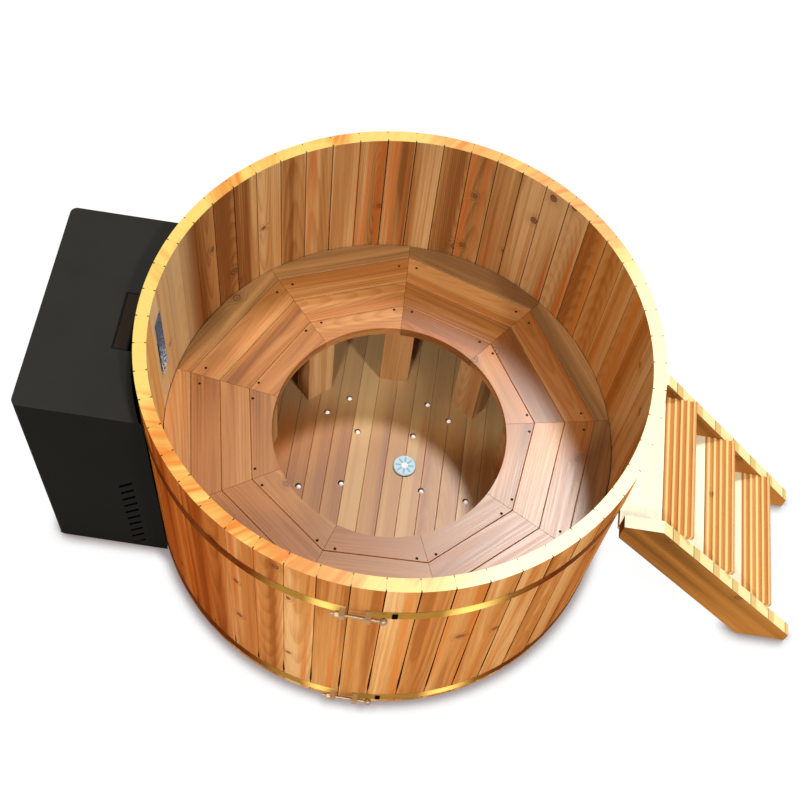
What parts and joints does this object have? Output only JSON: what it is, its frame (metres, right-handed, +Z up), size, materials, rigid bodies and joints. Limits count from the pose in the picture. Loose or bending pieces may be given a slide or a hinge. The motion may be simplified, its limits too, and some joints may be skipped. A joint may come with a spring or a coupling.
{
  "type": "barrel hot tub",
  "caption": "Round hot tub of upright wooden staves held by steel bands, with a ring bench inside, an equipment cabinet at one side and free-standing steps at the other.",
  "frame": {"origin": "middle of the tub on the ground, on the underside of the middle joist", "axes": "+X towards the steps, +Y towards the back, +Z up; the cabinet is at -X, the band tensioners at -Y"},
  "size_m": [2.476, 1.5308, 0.99],
  "materials": {
    "cedar_wall": "oiled cedar, pale end grain at the rim",
    "cedar_floor": "oiled cedar, tan",
    "cedar_bench": "oiled cedar, honey with pinkish boards",
    "hoop_steel": "bright band with a bronze tint",
    "bright_steel": "bright stainless",
    "black_clip": "matte",
    "dark_screw": "dark",
    "black_cabinet": "satin black",
    "hatch": "satin, slightly brown",
    "white_plastic": "white",
    "pipe_plastic": "white pipe",
    "grey_plastic": "dark grey",
    "mesh_plate": "blue-grey mesh",
    "motor_paint": "dark blue",
    "step_wood": "pale oiled wood"
  },
  "bodies": {
    "tub": {"air_chambers": "pipe_plastic", "air_jets": "white_plastic", "air_pipes": "pipe_plastic", "bench_bearers": "cedar_bench", "bench_front_posts": "cedar_bench", "bench_rear_posts": "cedar_bench", "bench_screws": "dark_screw", "bench_segment_1": "cedar_bench", "bench_segment_2": "cedar_bench", "bench_segment_3": "cedar_bench", "bench_segment_4": "cedar_bench", "bench_segment_5": "cedar_bench", "bench_segment_6": "cedar_bench", "bench_segment_7": "cedar_bench", "bench_segment_8": "cedar_bench", "bench_segment_9": "cedar_bench", "blower_housing": "grey_plastic", "cabinet_base": "black_cabinet", "cabinet_top": "black_cabinet", "cabinet_tub_panel": "black_cabinet", "cabinet_wrap": "black_cabinet", "control_box": "grey_plastic", "drain_fitting": "bright_steel", "drain_pipes": "pipe_plastic", "drain_valve": "bright_steel", "filter_cartridge": "white_plastic", "floor_boards": "cedar_floor", "floor_joists": "cedar_floor", "heater": "bright_steel", "heater_pipes": "pipe_plastic", "hoop_clips": "black_clip", "hoop_lugs": "bright_steel", "lower_hoop": "hoop_steel", "pump_casing": "grey_plastic", "pump_motor": "motor_paint", "return_fitting": "white_plastic", "skimmer_body": "grey_plastic", "skimmer_grille": "mesh_plate", "staves_back_left": "cedar_wall", "staves_back_right": "cedar_wall", "staves_front_left": "cedar_wall", "staves_front_right": "cedar_wall", "suction_pipe": "pipe_plastic", "tension_rods": "bright_steel", "upper_hoop": "hoop_steel"},
    "hatch": {"hatch_lid": "hatch"},
    "drain_lever": {"drain_valve_lever": "black_clip"},
    "upper_nut": {"upper_tension_nut": "bright_steel"},
    "lower_nut": {"lower_tension_nut": "bright_steel"},
    "rotor": {"pump_rotor": "bright_steel"},
    "wheel": {"blower_wheel": "grey_plastic"},
    "strainer": {"drain_strainer": "bright_steel"},
    "steps": {"step_stringer_front": "step_wood", "step_stringer_back": "step_wood", "step_tread_1": "step_wood", "step_tread_2": "step_wood", "step_tread_3": "step_wood", "step_board_1": "step_wood", "step_board_2": "step_wood", "step_board_3": "step_wood"}
  },
  "joints": [
    {"name": "hatch_hinge", "type": "hinge", "parent": "tub", "child": "hatch", "pos_m": [-0.8044, -0.0225, 0.897], "axis": [0, -1, 0], "range_deg": [0, 95]},
    {"name": "drain_lever_turn", "type": "hinge", "parent": "tub", "child": "drain_lever", "pos_m": [-0.9, 0.0585, 0.0463], "axis": [0, 0, 1], "range_deg": [0, 90]},
    {"name": "upper_nut_turn", "type": "hinge", "parent": "tub", "child": "upper_nut", "pos_m": [-0.01738, -0.7658, 0.8155], "axis": [0.9997, -0.0227, 0], "continuous": true},
    {"name": "lower_nut_turn", "type": "hinge", "parent": "tub", "child": "lower_nut", "pos_m": [-0.01738, -0.7658, 0.0535], "axis": [0.9997, -0.0227, 0], "continuous": true},
    {"name": "rotor_spin", "type": "hinge", "parent": "tub", "child": "rotor", "pos_m": [-0.88, -0.07, 0.13], "axis": [0, 1, 0], "continuous": true},
    {"name": "wheel_spin", "type": "hinge", "parent": "tub", "child": "wheel", "pos_m": [-0.94, 0.22, 0.08], "axis": [0, 0, 1], "continuous": true},
    {"name": "strainer_lift", "type": "slide", "parent": "tub", "child": "strainer", "axis": [0, 0, 1], "range_m": [0, 0.06]},
    {"name": "steps_pull", "type": "slide", "parent": "tub", "child": "steps", "axis": [1, 0, 0], "range_m": [0, 0.4]}
  ]
}
